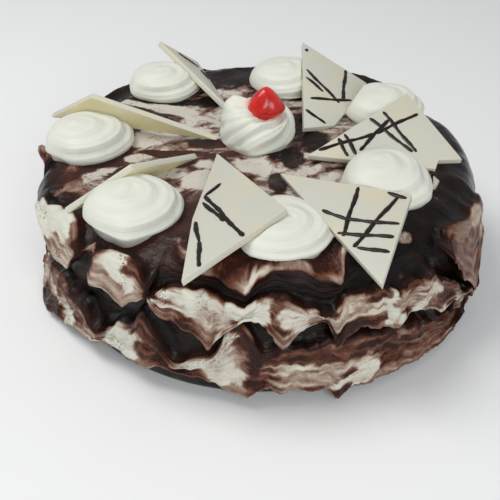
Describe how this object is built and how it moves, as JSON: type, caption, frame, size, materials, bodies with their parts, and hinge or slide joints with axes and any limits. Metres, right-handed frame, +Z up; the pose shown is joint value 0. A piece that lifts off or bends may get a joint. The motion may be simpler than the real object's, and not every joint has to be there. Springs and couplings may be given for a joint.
{
  "type": "chocolate gateau",
  "caption": "Round uncut chocolate gateau with a marbled, ruffled chocolate and cream coat, piped cream rosettes, a glace cherry and drizzled white chocolate shards.",
  "frame": {"origin": "middle of the flat base, where the cake stands on its surface", "axes": "+Z up, -Y towards the side that the picture shows"},
  "size_m": [0.2298, 0.2289, 0.0946],
  "materials": {
    "marbled_coat": "glossy dark chocolate ganache marbled with cream by a palette knife",
    "whipped_cream": "smooth matt piped whipped cream",
    "glace_cherry": "wet glossy red glace cherry",
    "white_chocolate": "satin ivory white chocolate with dark chocolate drizzle"
  },
  "bodies": {
    "root": {"cake_body": "marbled_coat", "rosette_1": "whipped_cream", "rosette_2": "whipped_cream", "rosette_3": "whipped_cream", "rosette_4": "whipped_cream", "rosette_5": "whipped_cream", "rosette_6": "whipped_cream", "rosette_7": "whipped_cream", "rosette_centre": "whipped_cream", "cherry": "glace_cherry", "shard_1": "white_chocolate", "shard_2": "white_chocolate", "shard_3": "white_chocolate", "shard_4": "white_chocolate", "shard_5": "white_chocolate", "shard_6": "white_chocolate", "shard_7": "white_chocolate"}
  },
  "joints": []
}
